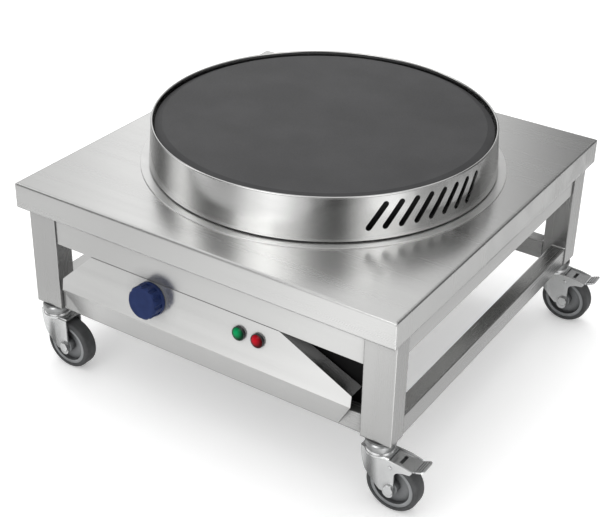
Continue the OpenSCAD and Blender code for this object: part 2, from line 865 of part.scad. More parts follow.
module lamp_lens(i) {
    r = (lens_r * lens_r + lens_dome * lens_dome) / (2 * lens_dome);
    at_panel(lamp_x + i * lamp_pitch, lamp_z) {
        translate([0, 0, bezel_h - lens_seat]) cylinder(r = lens_r, h = lens_seat, $fn = 64);
        intersection() {
            translate([0, 0, bezel_h + lens_dome - r]) sphere(r, $fn = 64);
            translate([0, 0, bezel_h - 0.5]) cylinder(r = lens_r, h = lens_dome + 2, $fn = 64);
        }
    }
}

module lamp_body_green() {
    lamp_body(0);
}

module lamp_body_red() {
    lamp_body(1);
}

module lens_green() {
    color([0.05, 0.55, 0.30]) lamp_lens(0);
}

module lens_red() {
    color([0.70, 0.06, 0.12]) lamp_lens(1);
}

module terminal_block() {
    color([0.90, 0.90, 0.88]) translate([-block_l / 2, box_back - box_t - 20 - block_d, box_bot + box_t])
        difference() {
            cube([block_l, block_d, block_h]);
            for (i = [0 : 4]) translate([block_l / 5 * (i + 0.5), block_d / 2, block_h / 2])
                cylinder(r = block_l / 18, h = block_h, $fn = 32);
        }
}

module cable_gland() {
    color([0.12, 0.12, 0.12]) translate([-gland_x, box_back, gland_z]) rotate([-90, 0, 0]) difference() {
        union() {
            translate([0, 0, -box_t - 8]) cylinder(r = gland_r, h = box_t + 9, $fn = 48);
            translate([0, 0, -box_t - 5]) cylinder(r = 1.5 * gland_r, h = 5, $fn = 6);
            cylinder(r = 1.5 * gland_r, h = 6, $fn = 6);
            translate([0, 0, 5]) cylinder(r = 1.3 * gland_r, h = 17, $fn = 48);
        }
        translate([0, 0, -box_t - 9]) cylinder(r = gland_bore_r, h = gland_len + 2, $fn = 48);
    }
}

// Casters: each is drawn about its own swivel axis, with the wheel trailing along +X
module at_caster(i) {
    translate([
        i == 0 ? -front_cx : i == 1 ? front_cx : i == 2 ? -back_cx : back_cx,
        i < 2 ? front_cy : back_cy,
        0
    ]) children();
}

module along_y(x, z) {
    translate([x, 0, z]) rotate([90, 0, 0]) children();
}

module caster_head() {
    color(zinc) union() {
        translate([0, 0, cup_z]) cylinder(r = bearing_r - 2, h = head_h);
        translate([0, 0, cup_z + 0.3 * head_h])
            cylinder(r1 = bearing_r - 1, r2 = bearing_r + 1, h = 0.1 * head_h);
        translate([0, 0, cup_z + 0.4 * head_h]) cylinder(r = bearing_r + 1, h = 0.35 * head_h);
        translate([0, 0, cup_z + 0.75 * head_h])
            cylinder(r1 = bearing_r + 1, r2 = bearing_r - 1, h = 0.15 * head_h);
        translate([0, 0, caster_h - 1]) cylinder(r = stem_r, h = foot_plate_t + stem_l + 1, $fn = 48);
        translate([0, 0, crown_z - race_gap - 3]) cylinder(r = kingpin_r, h = cup_z - crown_z + 5, $fn = 48);
        translate([0, 0, crown_z - race_gap - 3]) cylinder(r = kingpin_r + 3, h = 3, $fn = 48);
    }
}

// Ear of a braked fork's plate beside the pedal
module fork_ear() {
    polygon([
        [fork_edge - 12, crown_z - 20],
        [fork_edge + 6.4, crown_z - 18.2],
        [fork_edge + 15, crown_z - 14.6],
        [ear_tip - 3.2, crown_z - 12.6],
        [ear_tip, crown_z - 8.5],
        [ear_tip, crown_z - 5],
        [fork_edge + 11, crown_z - 0.7],
        [fork_edge - 8, crown_z + 0.8],
        [fork_edge - 12, crown_z + 0.8]
    ]);
    difference() {
        polygon([
            [fork_edge - 1, crown_z - 27.9],
            [fork_edge + ear_fillet, crown_z - 27.9],
            [fork_edge + 6.4, crown_z - 18.2],
            [fork_edge - 1, crown_z - 18.2]
        ]);
        translate([fork_edge + ear_fillet, crown_z - 27.9]) circle(ear_fillet, $fn = 64);
    }
}

// Fork from above: flat plates at the back, drawn in along an arc towards the front
module fork_plan(half, r) {
    translate([flank_x, -half - 1]) square([pedal_reach, 2 * half + 2]);
    intersection() {
        translate([flank_x - r / 2, -half - 1]) square([r / 2 + eps, 2 * half + 2]);
        translate([flank_x, r - half - 0.05]) circle(r);
        translate([flank_x, half - r + 0.05]) circle(r);
    }
}

// Fork seen from the side: bowed front edge, slanted lower edge, round toe, straight back edge
module fork_side(braked) {
    difference() {
        union() {
            intersection() {
                translate([fork_bow - fork_front, race_z]) circle(fork_bow);
                translate([toe_x, toe_z]) rotate(toe_slant)
                    translate([-fork_toe, -2 * fork_bow]) square(4 * fork_bow);
                union() {
                    translate([-fork_front - 1, toe_z])
                        square([(braked ? plate_x - 1 : fork_edge) + fork_front + 1, race_z - toe_z]);
                    translate([0, toe_z]) square([fork_edge, crown_z - 0.5 - toe_z]);
                    translate([toe_x, toe_z]) circle(fork_toe, $fn = 64);
                }
            }
            if (braked) fork_ear();
        }
        translate([caster_trail, wheel_r]) circle(axle_r + run_gap, $fn = 48);
        if (braked) translate([pivot_x, pivot_z]) circle(pivot_r + run_gap, $fn = 48);
    }
}

module along_fork() {
    translate([-fork_front - 5, 0, 0]) rotate([90, 0, 90])
        linear_extrude(fork_front + pedal_reach + 10) children();
}

module fork(braked) {
    color(zinc) difference() {
        union() {
            difference() {
                intersection() {
                    translate([0, fork_half + 1, 0]) rotate([90, 0, 0])
                        linear_extrude(2 * fork_half + 2) fork_side(braked);
                    along_fork() rounded_top(2 * fork_half, 0, race_z, fork_bend);
                    linear_extrude(race_z + 1) fork_plan(fork_half, flank_r);
                }
                intersection() {
                    along_fork() rounded_top(fork_gap, -1, crown_z, fork_bend - fork_t);
                    translate([0, 0, -2]) linear_extrude(race_z) fork_plan(fork_gap / 2, flank_r - fork_t);
                }
            }
            translate([0, 0, crown_z]) cylinder(r = bearing_r + 1, h = crown_t);
            translate([0, 0, race_z - eps]) cylinder(r1 = bearing_r, r2 = bearing_r - 1.5, h = race_h + eps);
        }
        translate([0, 0, crown_z - 1]) cylinder(r = kingpin_r + run_gap, h = crown_t + race_h + 2, $fn = 48);
        if (braked) translate([plate_x - 1, -fork_gap / 2, crown_z - fork_bend])
            cube([pedal_reach, fork_gap, crown_t + fork_bend + 1]);
    }
}

module axle() {
    color(zinc) along_y(caster_trail, wheel_r) {
        translate([0, 0, -fork_half - 8]) cylinder(r = axle_r, h = 2 * fork_half + 10, $fn = 48);
        translate([0, 0, fork_half]) cylinder(r = 1.9 * axle_r, h = 5, $fn = 6);
        translate([0, 0, -fork_half - 6]) cylinder(r = 1.9 * axle_r, h = 6, $fn = 6);
    }
}

module wheel_core() {
    color([0.45, 0.46, 0.47]) along_y(caster_trail, wheel_r) rotate_extrude() {
        translate([axle_r + run_gap, -fork_gap / 2 + hub_gap])
            square([hub_r - axle_r - run_gap, fork_gap - 2 * hub_gap]);
        translate([hub_r - 1, -5]) square([core_r - hub_r, 10]);
        translate([core_r - 7, -tyre_w / 2 + 1.5]) square([7, tyre_w - 3]);
    }
}

module tyre() {
    color([0.25, 0.25, 0.26]) along_y(caster_trail, wheel_r) rotate_extrude() intersection() {
        translate([core_r + fit_gap / 3, -tyre_w / 2]) square([tyre_t - fit_gap / 3, tyre_w]);
        union() {
            translate([0, -tyre_w / 2]) square([wheel_r - tyre_round, tyre_w]);
            translate([0, -tyre_w / 2 + tyre_round]) square([wheel_r, tyre_w - 2 * tyre_round]);
            for (s = [-1, 1]) translate([wheel_r - tyre_round, s * (tyre_w / 2 - tyre_round)])
                circle(tyre_round, $fn = 32);
        }
    }
}

// Outline of the pad from above, with round corners
module pad_outline(r) {
    for (x = [pad_x + r, pedal_reach - r]) for (s = [-1, 1])
        translate([x, s * (pad_half - r)]) circle(r, $fn = 48);
    translate([pad_x + r, -pad_half]) square([pad_l - 2 * r, 2 * pad_half]);
    translate([pad_x, -pad_half + r]) square([pad_l, 2 * (pad_half - r)]);
}

module brake_pedal() {
    pad_z = plate_under(pad_x) - 0.4;
    pad_rise = tan(pad_tilt);
    rib_step = (pad_l - 6) / (pad_ribs - 1);
    color(zinc) difference() {
        union() {
            translate([0, plate_half, 0]) rotate([90, 0, 0]) linear_extrude(2 * plate_half) polygon([
                [plate_x, plate_z],
                [pad_x, pad_z + 0.4],
                [pad_x + 3, pad_z + 0.4 + 3 * pad_rise],
                [pad_x + 3, pad_z + 0.3 + 3 * pad_rise + pedal_t],
                [pad_x, pad_z + 0.4 + pedal_t],
                [plate_x, plate_z + pedal_t]
            ]);
            intersection() {
                translate([0, pad_half + 1, 0]) rotate([90, 0, 0]) linear_extrude(2 * pad_half + 2) polygon([
                    [pad_x - 1, pad_z - pad_rise],
                    [pedal_reach + 1, pad_z + (pad_l + 1) * pad_rise],
                    [pedal_reach + 1, pad_z + (pad_l + 1) * pad_rise + pad_t],
                    [pad_x - 1, pad_z - pad_rise + pad_t]
                ]);
                translate([0, 0, pad_z - 2]) linear_extrude(pad_l) pad_outline(pad_corner);
            }
            for (i = [0 : pad_ribs - 1])
                along_y(pad_x + 3 + i * rib_step, pad_z + pad_t + 0.3 + (3 + i * rib_step) * pad_rise)
                    translate([0, 0, 4 - pad_half]) cylinder(r = 1.4, h = 2 * pad_half - 8, $fn = 24);
            for (s = [0, 1]) mirror([0, s, 0]) {
                translate([0, plate_half - 0.2, 0]) rotate([90, 0, 0]) linear_extrude(cheek_t) {
                    translate([pivot_x, pivot_z]) circle(2 * pivot_r, $fn = 48);
                    polygon([
                        [pivot_x - 2 * pivot_r, pivot_z],
                        [pivot_x + 2 * pivot_r, pivot_z],
                        [fork_edge + 21, plate_under(fork_edge + 21) - 2],
                        [fork_edge + 24, plate_under(fork_edge + 24) + 1],
                        [plate_x, plate_z + 1]
                    ]);
                }
                along_y(pivot_x, pivot_z) translate([0, 0, plate_half - cheek_t])
                    cylinder(r = pivot_r, h = fork_half - plate_half + cheek_t + 0.5, $fn = 48);
                along_y(pivot_x, pivot_z) translate([0, 0, fork_half + 0.4])
                    cylinder(r1 = 1.4 * pivot_r, r2 = pivot_r, h = 1.2, $fn = 48);
            }
            translate([0, tyre_w / 2 - 3, 0]) rotate([90, 0, 0]) linear_extrude(tyre_w - 6) polygon([
                let_up(fork_edge + 14.5, tyre_over(fork_edge + 14.5) + 1.3),
                let_up(fork_edge + 23, tyre_over(fork_edge + 23) + 1.3),
                [fork_edge + 23, plate_under(fork_edge + 23) + 1],
                [fork_edge + 13.5, plate_under(fork_edge + 13.5) + 1]
            ]);
        }
        translate([fork_edge + 3.7, -11, plate_z - 5]) cube([6.5, 22, 12]);
    }
}

module placed(i) {
    translate([shift_x, 0, 0]) at_caster(i) children();
}

module moved() {
    translate([shift_x, 0, 0]) children();
}

moved() table_top();
moved() leg_front_left();
moved() leg_front_right();
moved() leg_back_left();
moved() leg_back_right();
moved() channel_front();
moved() channel_back();
moved() channel_right();
moved() channel_left();
moved() rail_front();
moved() rail_back();
moved() rail_right();
moved() rail_left();
moved() base_flange();
moved() base_gasket();
moved() saj_collar();
moved() collar_screws_set();
moved() burner_pan();
moved() insulation();
moved() element_tray();
moved() element_outer();
moved() element_inner();
moved() saj_plate();
moved() wire_tube();
moved() control_panel();
moved() control_box();
moved() blank_plate();
moved() thermostat();
moved() thermostat_shaft();
moved() knob();
moved() lamp_body_green();
moved() lens_green();
moved() lamp_body_red();
moved() lens_red();
moved() terminal_block();
moved() cable_gland();
placed(0) caster_head();  // caster_head_fl
placed(0) fork(false);  // fork_fl
placed(0) axle();  // axle_fl
placed(0) wheel_core();  // wheel_core_fl
placed(0) tyre();  // tyre_fl
placed(1) caster_head();  // caster_head_fr
placed(1) fork(true);  // fork_fr
placed(1) axle();  // axle_fr
placed(1) wheel_core();  // wheel_core_fr
placed(1) tyre();  // tyre_fr
placed(1) brake_pedal();  // brake_pedal_fr
placed(2) caster_head();  // caster_head_bl
placed(2) fork(false);  // fork_bl
placed(2) axle();  // axle_bl
placed(2) wheel_core();  // wheel_core_bl
placed(2) tyre();  // tyre_bl
placed(3) caster_head();  // caster_head_br
placed(3) fork(true);  // fork_br
placed(3) axle();  // axle_br
placed(3) wheel_core();  // wheel_core_br
placed(3) tyre();  // tyre_br
placed(3) brake_pedal();  // brake_pedal_br
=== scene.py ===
import json
import math
import bpy
import bmesh
from mathutils import Matrix, Vector

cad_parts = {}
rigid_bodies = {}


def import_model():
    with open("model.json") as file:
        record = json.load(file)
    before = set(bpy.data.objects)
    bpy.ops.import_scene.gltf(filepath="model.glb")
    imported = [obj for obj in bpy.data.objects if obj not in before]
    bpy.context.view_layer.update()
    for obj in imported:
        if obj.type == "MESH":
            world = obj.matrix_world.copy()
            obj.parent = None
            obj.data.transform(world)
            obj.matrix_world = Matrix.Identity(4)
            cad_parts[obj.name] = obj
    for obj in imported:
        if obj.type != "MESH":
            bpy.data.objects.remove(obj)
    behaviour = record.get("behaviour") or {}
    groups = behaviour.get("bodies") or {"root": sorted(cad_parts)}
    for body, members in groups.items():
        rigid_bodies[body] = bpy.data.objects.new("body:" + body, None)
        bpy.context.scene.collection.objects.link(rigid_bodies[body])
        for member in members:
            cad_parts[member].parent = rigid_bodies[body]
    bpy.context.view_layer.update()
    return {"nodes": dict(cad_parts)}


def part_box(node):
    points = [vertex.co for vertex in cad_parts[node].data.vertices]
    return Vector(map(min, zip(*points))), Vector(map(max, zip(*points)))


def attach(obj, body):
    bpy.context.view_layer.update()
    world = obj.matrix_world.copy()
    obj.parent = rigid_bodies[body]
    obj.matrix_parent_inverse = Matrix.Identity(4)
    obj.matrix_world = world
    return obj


for leftOver in list(bpy.data.objects):  # the start-up cube, lamp and camera
    bpy.data.objects.remove(leftOver)

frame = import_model()
nodes = frame["nodes"]
print("frame loaded:", len(nodes), "nodes")


# small helpers

def hexToLinear(code):
    parts = [int(code[i:i + 2], 16) / 255 for i in (1, 3, 5)]
    return tuple(c / 12.92 if c <= 0.04045 else ((c + 0.055) / 1.055) ** 2.4 for c in parts) + (1.0,)


def addNode(tree, kind, settings=None, links=None):
    node = tree.nodes.new(kind)
    for key, value in (settings or {}).items():
        if isinstance(key, int) or key in node.inputs:
            node.inputs[key].default_value = value
        else:
            setattr(node, key, value)
    for key, socket in (links or {}).items():
        tree.links.new(socket, node.inputs[key])
    return node


def startMaterial(name, settings):
    material = bpy.data.materials.new(name)
    material.use_nodes = True
    tree = material.node_tree
    tree.nodes.clear()
    shader = addNode(tree, "ShaderNodeBsdfPrincipled", settings)
    addNode(tree, "ShaderNodeOutputMaterial", links={"Surface": shader.outputs[0]})
    return material, tree, shader


def joinShader(tree, shader, sockets):
    for key, socket in sockets.items():
        tree.links.new(socket, shader.inputs[key])


def newPiece(name, bm, material, body):
    mesh = bpy.data.meshes.new(name)
    bm.to_mesh(mesh)
    bm.free()
    piece = bpy.data.objects.new(name, mesh)
    bpy.context.scene.collection.objects.link(piece)
    mesh.materials.append(material)
    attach(piece, body)
    return piece


# camera

camera = {"azimuth": 32.3, "elevation": 29.4, "roll": 1.53, "place": (1.1268, -1.8410, 1.4834),
          "focalPx": 1277.6, "photoPx": 600, "sensorMm": 36, "shift": (-0.0235, -0.0602), "clip": (0.05, 100)}


def makeCamera():
    a, e, r = (math.radians(camera[k]) for k in ("azimuth", "elevation", "roll"))
    back = Vector((math.sin(a) * math.cos(e), -math.cos(a) * math.cos(e), math.sin(e)))
    right = Vector((math.cos(a), math.sin(a), 0))
    up = back.cross(right)
    x = math.cos(r) * right + math.sin(r) * up
    y = -math.sin(r) * right + math.cos(r) * up
    data = bpy.data.cameras.new("camera")
    data.sensor_width = camera["sensorMm"]
    data.lens = camera["focalPx"] / camera["photoPx"] * camera["sensorMm"]
    data.shift_x, data.shift_y = camera["shift"]
    data.clip_start, data.clip_end = camera["clip"]
    thing = bpy.data.objects.new("camera", data)
    bpy.context.scene.collection.objects.link(thing)
    turn = Matrix((x, y, back)).transposed().to_4x4()
    thing.matrix_world = Matrix.Translation(camera["place"]) @ turn
    bpy.context.scene.camera = thing


makeCamera()
print("camera set")


# painted shade: corners and recesses are darkened towards the corner colour the less open air there is round them, and
# lose part of their metal shine there

cornerShadeForm = {"samples": 8, "fullBelow": 0.35, "noneAbove": 0.95}  # limits as shares of open air round a spot


def paintedCornerShade(tree, shader, tone, f):
    nook = addNode(tree, "ShaderNodeAmbientOcclusion", {
        "samples": cornerShadeForm["samples"], "Distance": f["shadeReachMm"] / 1000})
    share = addNode(tree, "ShaderNodeMapRange", {
        "From Min": cornerShadeForm["fullBelow"], "From Max": cornerShadeForm["noneAbove"], "To Min": f["paintedShade"], "To Max": 0.0},
        {0: nook.outputs["AO"]})
    # on metal the painted shade also takes away part of the metal, so that the shaded spots take up some diffuse light
    if shader.inputs["Metallic"].default_value:
        bare = addNode(tree, "ShaderNodeMath", {"operation": "SUBTRACT", 0: 1.0}, {1: share.outputs[0]})
        tree.links.new(bare.outputs[0], shader.inputs["Metallic"])
    # the corner colour is the painted shade's tone
    return addNode(tree, "ShaderNodeMix", {"data_type": "RGBA", 7: hexToLinear(f["corner"])},
                   {0: share.outputs[0], 6: tone.outputs[2]})


# stainless steel sheet and tube, brushed with fine grit in one direction: soft grey mirror, streaked across the
# brushing. Real grit lines are about 0.1 mm wide, and they are drawn coarser so that they show

# paintedShade, shadeReachMm and corner: painted shade in corners and recesses, none on plain sheet
stainless = {"streakMm": 2.4, "streakLong": 90, "streakDetail": 4.0, "streakRough": 0.65, "streakDepthMm": 0.0003,
             "bandMm": 26, "bandLong": 25, "bandDetail": 3.0, "spread": (0.12, 0.4),
             "waveMm": 260, "waveDetail": 1.0, "waveDepthMm": 0.30,
             "paintedShade": 0.0, "shadeReachMm": 36, "corner": "#3C3C3C", "foldMm": 0, "foldSamples": 8, "turn": 0.25}
grades = {"sheet": {"colour": "#CCCCCB", "dull": "#C6C6C5", "roughness": (0.17, 0.23), "anisotropic": 0.6},
          "top": {"colour": "#CFCFCE", "dull": "#C9C9C8", "roughness": (0.25, 0.28), "anisotropic": 0.6,
                  "foldMm": 4.5},
          "flange": {"colour": "#E0E0DF", "dull": "#DADAD9", "roughness": (0.35, 0.41), "anisotropic": 0.3},
          # panel: painted shade in its nooks, a mid grey and part non-metal, so that its shaded return fold shows
          # lighter than bare metal would
          "panel": {"colour": "#D6D6D5", "dull": "#CECECD", "roughness": (0.20, 0.27), "anisotropic": 0.5,
                    "paintedShade": 0.7, "corner": "#8A8A8A"},
          # folded and tube: painted shade darkening their corners and the seams under the apron
          "folded": {"colour": "#C9C9C8", "dull": "#C2C2C1", "roughness": (0.22, 0.26), "anisotropic": 0.5,
                     "paintedShade": 0.85},
          "tube": {"colour": "#B8B8B7", "dull": "#B2B2B1", "roughness": (0.25, 0.28), "anisotropic": 0.5,
                   "paintedShade": 0.85, "streakDepthMm": 0.0001, "foldMm": 3.5}}


def brushedStainless(name, along, grade):
    s = dict(stainless, **grades[grade])
    material, tree, shader = startMaterial(name, {
        "Metallic": 1.0, "Anisotropic": s["anisotropic"], "Anisotropic Rotation": s["turn"]})
    coords = addNode(tree, "ShaderNodeTexCoord")
    pos = addNode(tree, "ShaderNodeSeparateXYZ", links={0: coords.outputs["Object"]})
    if along == "round":  # brushed round the upright axis: streaks change with height only
        run = addNode(tree, "ShaderNodeMath", {"operation": "ARCTAN2"},
                      {0: pos.outputs[1], 1: pos.outputs[0]}).outputs[0]
        across = pos.outputs[2]
        tangent = addNode(tree, "ShaderNodeTangent", {"direction_type": "RADIAL", "axis": "Z"}).outputs[0]
    else:  # the streaks fold round the bends with the sheet
        first, second = {"X": (1, 2), "Y": (0, 2), "Z": (1, 0)}[along]
        facing = addNode(tree, "ShaderNodeSeparateXYZ", links={0: coords.outputs["Normal"]})
        turned = addNode(tree, "ShaderNodeMath", {"operation": "ABSOLUTE"}, {0: facing.outputs[first]})
        across = addNode(tree, "ShaderNodeMix", {"data_type": "FLOAT"}, {
            0: turned.outputs[0], 2: pos.outputs[first], 3: pos.outputs[second]}).outputs[0]
        run = pos.outputs["XYZ".index(along)]
        tangent = addNode(tree, "ShaderNodeCombineXYZ", {along: 1.0}).outputs[0]
    lay = addNode(tree, "ShaderNodeCombineXYZ", links={0: run, 1: across})
    perM = 1000 / s["streakMm"]
    fine = addNode(tree, "ShaderNodeMapping", {"Scale": (perM / s["streakLong"], perM, 1)}, {0: lay.outputs[0]})
    streaks = addNode(tree, "ShaderNodeTexNoise", {
        "Scale": 1.0, "Detail": s["streakDetail"], "Roughness": s["streakRough"]}, {"Vector": fine.outputs[0]})
    perM = 1000 / s["bandMm"]
    wide = addNode(tree, "ShaderNodeMapping", {"Scale": (perM / s["bandLong"], perM, 1)}, {0: lay.outputs[0]})
    bands = addNode(tree, "ShaderNodeTexNoise", {"Scale": 1.0, "Detail": s["bandDetail"]},
                    {"Vector": wide.outputs[0]})
    both = addNode(tree, "ShaderNodeMath", {"operation": "MULTIPLY"}, {0: streaks.outputs[0], 1: bands.outputs[0]})
    (least, most), (low, high) = s["spread"], s["roughness"]
    rough = addNode(tree, "ShaderNodeMapRange", {
        "From Min": least, "From Max": most, "To Min": low, "To Max": high}, {0: both.outputs[0]})
    tone = addNode(tree, "ShaderNodeMix", {
        "data_type": "RGBA", 6: hexToLinear(s["colour"]), 7: hexToLinear(s["dull"])}, {0: bands.outputs[0]})
    # painted shade in corners and recesses
    if s["paintedShade"]:
        tone = paintedCornerShade(tree, shader, tone, s)
    waves = addNode(tree, "ShaderNodeTexNoise", {"Scale": 1000 / s["waveMm"], "Detail": s["waveDetail"]},
                    {"Vector": coords.outputs["Object"]})
    sheet = addNode(tree, "ShaderNodeBump", {"Strength": 1.0, "Distance": s["waveDepthMm"] / 1000},
                    {"Height": waves.outputs[0]})
    if s["foldMm"]:  # folded over a round former: the edge catches a bright line and a dark one
        fold = addNode(tree, "ShaderNodeBevel", {"samples": s["foldSamples"], "Radius": s["foldMm"] / 1000})
        tree.links.new(fold.outputs[0], sheet.inputs["Normal"])
    grit = addNode(tree, "ShaderNodeBump", {"Strength": 1.0, "Distance": s["streakDepthMm"] / 1000},
                   {"Height": streaks.outputs[0], "Normal": sheet.outputs[0]})
    joinShader(tree, shader, {"Base Color": tone.outputs[2], "Roughness": rough.outputs[0],
                              "Normal": grit.outputs[0], "Tangent": tangent})
    return material


# every other finish: a mottled surface with its own grain, on one plan

grainPlan = {"grainDetail": 3.0, "grainSpread": (0.3, 0.7), "blotchDetail": 2.0, "blotchSpread": (0.35, 0.65)}


def grainyFinish(f):
    material, tree, shader = startMaterial(f["name"], f.get("fixed"))
    coords = addNode(tree, "ShaderNodeTexCoord")
    grain = addNode(tree, "ShaderNodeTexNoise", {"Scale": 1000 / f["grainMm"], "Detail": grainPlan["grainDetail"]},
                    {"Vector": coords.outputs["Object"]})
    blotch = addNode(tree, "ShaderNodeTexNoise", {
        "Scale": 1000 / f["blotchMm"], "Detail": grainPlan["blotchDetail"]}, {"Vector": coords.outputs["Object"]})
    least, most = grainPlan["blotchSpread"]
    spread = addNode(tree, "ShaderNodeMapRange", {"From Min": least, "From Max": most}, {0: blotch.outputs[0]})
    tone = addNode(tree, "ShaderNodeMix", {
        "data_type": "RGBA", 6: hexToLinear(f["colour"]), 7: hexToLinear(f["other"])}, {0: spread.outputs[0]})
    # painted shade in corners and recesses, for the finishes that list it
    if "paintedShade" in f:
        tone = paintedCornerShade(tree, shader, tone, f)
    (least, most), (low, high) = grainPlan["grainSpread"], f["roughness"]
    rough = addNode(tree, "ShaderNodeMapRange", {
        "From Min": least, "From Max": most, "To Min": low, "To Max": high}, {0: grain.outputs[0]})
    bump = addNode(tree, "ShaderNodeBump", {"Strength": 1.0, "Distance": f["depthMm"] / 1000},
                   {"Height": grain.outputs[0]})
    joinShader(tree, shader, {"Base Color": tone.outputs[2], "Roughness": rough.outputs[0],
                              "Normal": bump.outputs[0]})
    return material


finishes = {
    # rolled steel griddle plate, oiled and burnt in: dark, even, a dull sheen with cloudy patches
    "dark_plate": {"name": "oiledRolledSteel", "colour": "#353536", "other": "#3B3B3C", "roughness": (0.48, 0.60),
                   "grainMm": 2.0, "blotchMm": 90, "depthMm": 0.03, "fixed": {"Specular IOR Level": 0.28}},
    # stove enamel on the pan: black and smooth, clouded by heat
    "dark_pan": {"name": "firedStoveEnamel", "colour": "#1E1E1F", "other": "#252524", "roughness": (0.35, 0.5),
                 "grainMm": 3.0, "blotchMm": 60, "depthMm": 0.02},
    # black powder-coated steel sheet: fine orange peel, hardly any shine. It closes behind the panel's cut end, and
    # its near-black is painted shade standing in for the dark inside there
    "black_sheet": {"name": "shadeBlackPowderCoat", "colour": "#060607", "other": "#0A0A0B", "roughness": (0.6, 0.75),
                    "grainMm": 1.6, "blotchMm": 40, "depthMm": 0.02, "fixed": {"Specular IOR Level": 0.15}},
    # nickel alloy heater tube, oxidised by heat: dark brown grey metal
    "element_sheath": {"name": "oxidisedNickelAlloy", "colour": "#4E4A46", "other": "#5B514A",
                       "roughness": (0.4, 0.55), "grainMm": 2.0, "blotchMm": 30, "depthMm": 0.02,
                       "fixed": {"Metallic": 1.0}},
    # ceramic fibre board: chalky, felted, pale
    "fibre_board": {"name": "feltedCeramicFibre", "colour": "#DAD5C8", "other": "#CFC9BA",
                    "roughness": (0.85, 0.95), "grainMm": 1.5, "blotchMm": 25, "depthMm": 0.15},
    # silicone rubber, cut from sheet: black and matt
    "black_gasket": {"name": "cutSiliconeRubber", "colour": "#141414", "other": "#1B1B1B",
                     "roughness": (0.55, 0.7), "grainMm": 1.5, "blotchMm": 20, "depthMm": 0.03},
    # phenolic moulding: warm pale body with a little shine
    "pale_moulding": {"name": "mouldedPhenolic", "colour": "#D9CFB8", "other": "#D1C6AD", "roughness": (0.4, 0.5),
                      "grainMm": 1.2, "blotchMm": 15, "depthMm": 0.02},
    # moulded nylon: black with a satin skin
    "black_moulding": {"name": "mouldedNylon", "colour": "#111112", "other": "#18181A", "roughness": (0.32, 0.42),
                       "grainMm": 1.0, "blotchMm": 12, "depthMm": 0.01},
    # moulded ABS knob: navy, satin, faint moulding grain
    "navy_moulding": {"name": "mouldedAbs", "colour": "#1F2D57", "other": "#24335F", "roughness": (0.30, 0.40),
                      "grainMm": 0.9, "blotchMm": 14, "depthMm": 0.01,
                      "fixed": {"IOR": 1.53, "Specular IOR Level": 0.1}},
    # pressed steel, zinc plated bright: cool silver, hardly clouded, with painted shade darkening its bends and nooks
    "zinc_plate": {"name": "brightZincPlate", "colour": "#E0E1E1", "other": "#DADBDB", "roughness": (0.23, 0.27),
                   "grainMm": 3.0, "blotchMm": 18, "depthMm": 0.0006,
                   "paintedShade": 0.8, "shadeReachMm": 8, "corner": "#333333", "fixed": {"Metallic": 1.0}},
    # turned steel bearing races: darker than the plated plates, soft bright rings, with painted shade darkening their
    # grooves
    "bearing_steel": {"name": "turnedBearingSteel", "colour": "#A9AAAA", "other": "#9FA0A0",
                      "roughness": (0.28, 0.34), "grainMm": 3.0, "blotchMm": 18, "depthMm": 0.0006,
                      "paintedShade": 0.9, "shadeReachMm": 14, "corner": "#2B2B2B", "fixed": {"Metallic": 1.0}},
    # moulded polypropylene wheel core: mid grey, waxy, with painted shade darkening its recess
    "grey_moulding": {"name": "mouldedPolypropylene", "colour": "#9A9C9E", "other": "#929495",
                      "roughness": (0.42, 0.52), "grainMm": 1.2, "blotchMm": 18, "depthMm": 0.015,
                      "paintedShade": 0.9, "shadeReachMm": 26, "corner": "#262728"},
    # thermoplastic rubber tyre, moulded on: dark grey, dull, dusted where it rolls
    "grey_rubber": {"name": "mouldedRubber", "colour": "#3B3C3D", "other": "#464748", "roughness": (0.55, 0.7),
                    "grainMm": 1.4, "blotchMm": 16, "depthMm": 0.04},
}


# moulded polycarbonate lamp lenses: clear coloured domes, wet shine. Painted highlight: the colour is brightest round
# a point set off from the dome's middle and deepens towards the rim, partly for the thicker plastic there and partly
# as painted shade

lenses = {"green_lens": {"name": "greenPolycarbonate", "node": "lens_green", "colour": "#089A5A", "deep": "#02331C"},
          "red_lens": {"name": "redPolycarbonate", "node": "lens_red", "colour": "#C41024", "deep": "#4A040A"}}
lensForm = {"paintedHighlightRadiusMm": 3.0, "rimMm": 12.5, "paintedHighlightMm": (-2.5, -3.0, 3.5), "roughness": (0.06, 0.2),
            "prismMm": 2.2, "prismDepthMm": 0.2, "prismShare": 0.25,
            "fixed": {"IOR": 1.58, "Specular IOR Level": 0.06}}


